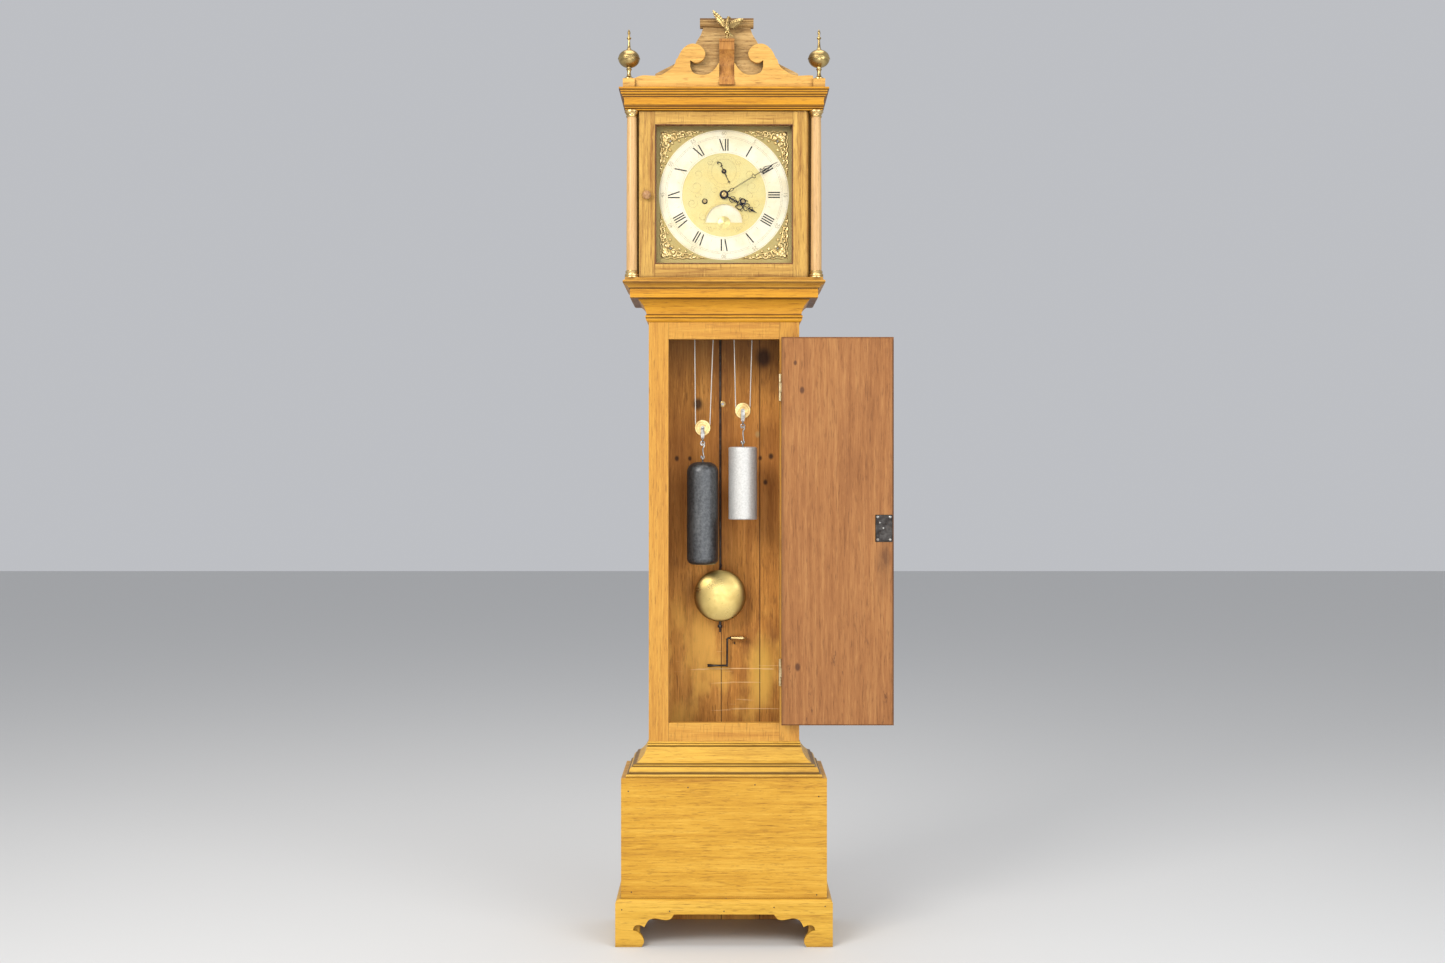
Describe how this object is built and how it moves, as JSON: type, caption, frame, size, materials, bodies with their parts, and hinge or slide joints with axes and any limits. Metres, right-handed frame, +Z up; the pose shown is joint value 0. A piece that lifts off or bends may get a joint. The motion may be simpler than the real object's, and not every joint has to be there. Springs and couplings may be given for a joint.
{
  "type": "longcase clock",
  "caption": "Oak longcase clock with a scrolled crest, square brass dial, open trunk door, weights on pulleys and a seconds pendulum.",
  "frame": {"origin": "middle of the backboard's rear bottom edge, where it meets the floor and the wall", "axes": "+X to the right, +Y to the wall (the wall is y = 0), +Z up"},
  "size_m": [0.612, 0.242, 2.0479],
  "materials": {
    "oak_base": "satin",
    "oak_frame": "satin",
    "oak_moulding": "satin",
    "oak_door": "satin",
    "oak_inside": "matt",
    "oak_back": "matt",
    "oak_hood": "satin",
    "column_wood": "satin",
    "brass": "aged",
    "dial_brass": "matted",
    "silvered": "silvered",
    "blued_steel": "blued",
    "steel": "worn",
    "iron": "blackened",
    "lead": "dull",
    "line": "twisted",
    "glass": "clear",
    "pierced_gold": "gilt"
  },
  "bodies": {
    "case": {"backboard": "oak_back", "trunk_sides": "oak_inside", "trunk_frame": "oak_frame", "throat_moulding": "oak_moulding", "base_panels": "oak_base", "base_moulding": "oak_moulding", "plinth": "oak_base", "seatboard": "oak_inside", "case_hinge_leaves": "iron", "key_nail": "iron", "movement_plates": "brass", "dial_plate": "dial_brass", "chapter_ring": "silvered", "spandrels": "pierced_gold", "bell": "steel", "going_line": "line", "strike_line": "line"},
    "trunk_door": {"trunk_door": "oak_door", "door_hinge_leaves": "iron", "door_lock": "iron"},
    "lock_bolt": {"lock_bolt": "steel"},
    "hood": {"hood_carcass": "oak_hood", "hood_base_moulding": "oak_moulding", "hood_cornice": "oak_moulding", "pediment_front": "oak_hood", "pediment_tablet": "oak_hood", "centre_corbel": "oak_hood", "eagle_finial": "brass", "ball_finials": "brass", "column_shafts": "column_wood", "column_brasses": "brass"},
    "hood_door": {"hood_door_frame": "oak_hood", "hood_door_glass": "glass", "hood_door_knob": "oak_moulding", "hood_door_pivots": "brass"},
    "centre_arbor": {"centre_wheel": "brass", "minute_hand": "blued_steel"},
    "hour_arbor": {"hour_wheel": "brass", "hour_hand": "blued_steel"},
    "minute_wheel": {"minute_wheel": "brass"},
    "great_wheel": {"going_great_wheel": "brass"},
    "third_arbor": {"third_wheel": "brass"},
    "escape_arbor": {"escape_wheel": "brass", "seconds_hand": "blued_steel"},
    "going_barrel": {"going_barrel": "brass"},
    "strike_barrel": {"strike_barrel": "brass"},
    "strike_wheel": {"strike_great_wheel": "brass"},
    "pin_wheel": {"pin_wheel": "brass"},
    "hammer": {"hammer": "steel"},
    "pendulum": {"pendulum_rod": "iron", "pendulum_bob": "brass"},
    "anchor": {"anchor": "steel"},
    "date_disc": {"date_disc": "silvered"},
    "going_weight": {"going_weight": "lead", "going_hook": "steel"},
    "strike_weight": {"strike_weight": "iron", "strike_hook": "steel"},
    "going_pulley": {"going_pulley": "brass"},
    "strike_pulley": {"strike_pulley": "brass"},
    "crank": {"winding_crank": "iron"}
  },
  "joints": [
    {"name": "trunk_door_swing", "type": "hinge", "parent": "case", "child": "trunk_door", "pos_m": [0.1245, -0.181, 0.9], "axis": [0, 0, 1], "range_deg": [-180, 0]},
    {"name": "lock_bolt_throw", "type": "slide", "parent": "trunk_door", "child": "lock_bolt", "axis": [1, 0, 0], "range_m": [0, 0.007]},
    {"name": "hood_slide", "type": "slide", "parent": "case", "child": "hood", "axis": [0, -1, 0], "range_m": [0, 0.25]},
    {"name": "hood_door_swing", "type": "hinge", "parent": "hood", "child": "hood_door", "pos_m": [0.1763, -0.204, 1.64], "axis": [0, 0, 1], "range_deg": [0, 90]},
    {"name": "minute_turn", "type": "hinge", "parent": "case", "child": "centre_arbor", "pos_m": [0, -0.1, 1.647], "axis": [0, 1, 0], "continuous": true},
    {"name": "hour_turn", "type": "hinge", "parent": "case", "child": "hour_arbor", "pos_m": [0, -0.1, 1.647], "axis": [0, 1, 0], "continuous": true},
    {"name": "motion_turn", "type": "hinge", "parent": "case", "child": "minute_wheel", "pos_m": [0, -0.1, 1.6182], "axis": [0, 1, 0], "continuous": true},
    {"name": "great_wheel_turn", "type": "hinge", "parent": "case", "child": "great_wheel", "pos_m": [0.0425, -0.1, 1.633], "axis": [0, 1, 0], "continuous": true},
    {"name": "third_turn", "type": "hinge", "parent": "case", "child": "third_arbor", "pos_m": [0.01, -0.1, 1.676], "axis": [0, 1, 0], "continuous": true},
    {"name": "seconds_turn", "type": "hinge", "parent": "case", "child": "escape_arbor", "pos_m": [0, -0.1, 1.699], "axis": [0, 1, 0], "continuous": true},
    {"name": "strike_wheel_turn", "type": "hinge", "parent": "case", "child": "strike_wheel", "pos_m": [-0.0425, -0.1, 1.633], "axis": [0, 1, 0], "continuous": true},
    {"name": "pin_wheel_turn", "type": "hinge", "parent": "case", "child": "pin_wheel", "pos_m": [-0.0425, -0.1, 1.67], "axis": [0, 1, 0], "continuous": true},
    {"name": "hammer_swing", "type": "hinge", "parent": "case", "child": "hammer", "pos_m": [-0.0705, -0.1, 1.69], "axis": [0, 1, 0], "range_deg": [-12, 1.5]},
    {"name": "pendulum_swing", "type": "hinge", "parent": "case", "child": "pendulum", "pos_m": [-0.009, -0.052, 1.731], "axis": [0, 1, 0], "range_deg": [-2.5, 2.5]},
    {"name": "anchor_rock", "type": "hinge", "parent": "case", "child": "anchor", "pos_m": [-0.009, -0.1, 1.731], "axis": [0, 1, 0], "range_deg": [-2.5, 2.5]},
    {"name": "date_turn", "type": "hinge", "parent": "case", "child": "date_disc", "pos_m": [0, -0.18, 1.586], "axis": [0, 1, 0], "continuous": true},
    {"name": "going_weight_fall", "type": "slide", "parent": "case", "child": "going_weight", "axis": [0, 0, 1], "range_m": [-0.8, 0.3], "deforming": ["going_line"]},
    {"name": "going_barrel_turn", "type": "hinge", "parent": "case", "child": "going_barrel", "pos_m": [0.0425, -0.1, 1.633], "axis": [0, 1, 0], "range_deg": [-3668.9, 1377.1]},
    {"name": "going_pulley_turn", "type": "hinge", "parent": "going_weight", "child": "going_pulley", "pos_m": [0.0425, -0.113, 1.1735], "axis": [0, 1, 0], "range_deg": [-2866.8, 1076.3]},
    {"name": "strike_weight_fall", "type": "slide", "parent": "case", "child": "strike_weight", "axis": [0, 0, 1], "range_m": [-0.7, 0.34], "deforming": ["strike_line"]},
    {"name": "strike_barrel_turn", "type": "hinge", "parent": "case", "child": "strike_barrel", "pos_m": [-0.0425, -0.1, 1.633], "axis": [0, 1, 0], "range_deg": [-3210.6, 1560.4]},
    {"name": "strike_pulley_turn", "type": "hinge", "parent": "strike_weight", "child": "strike_pulley", "pos_m": [-0.048, -0.113, 1.1345], "axis": [0, 1, 0], "range_deg": [-2508.7, 1219.5]},
    {"name": "crank_lift", "type": "slide", "parent": "case", "child": "crank", "axis": [0, 0, 1], "range_m": [0, 0.04]}
  ],
  "couplings": [
    {"joint": "hour_turn", "follows": "minute_turn", "ratio": 0.083333},
    {"joint": "motion_turn", "follows": "minute_turn", "ratio": -1},
    {"joint": "great_wheel_turn", "follows": "minute_turn", "ratio": -0.083333},
    {"joint": "third_turn", "follows": "minute_turn", "ratio": -7.5},
    {"joint": "seconds_turn", "follows": "minute_turn", "ratio": 60},
    {"joint": "pin_wheel_turn", "follows": "strike_wheel_turn", "ratio": -10.5},
    {"joint": "anchor_rock", "follows": "pendulum_swing", "ratio": 1},
    {"joint": "going_barrel_turn", "follows": "going_weight_fall", "rad_per_m": 80},
    {"joint": "going_pulley_turn", "follows": "going_weight_fall", "rad_per_m": 62.5},
    {"joint": "strike_barrel_turn", "follows": "strike_weight_fall", "rad_per_m": 80},
    {"joint": "strike_pulley_turn", "follows": "strike_weight_fall", "rad_per_m": 62.5}
  ]
}
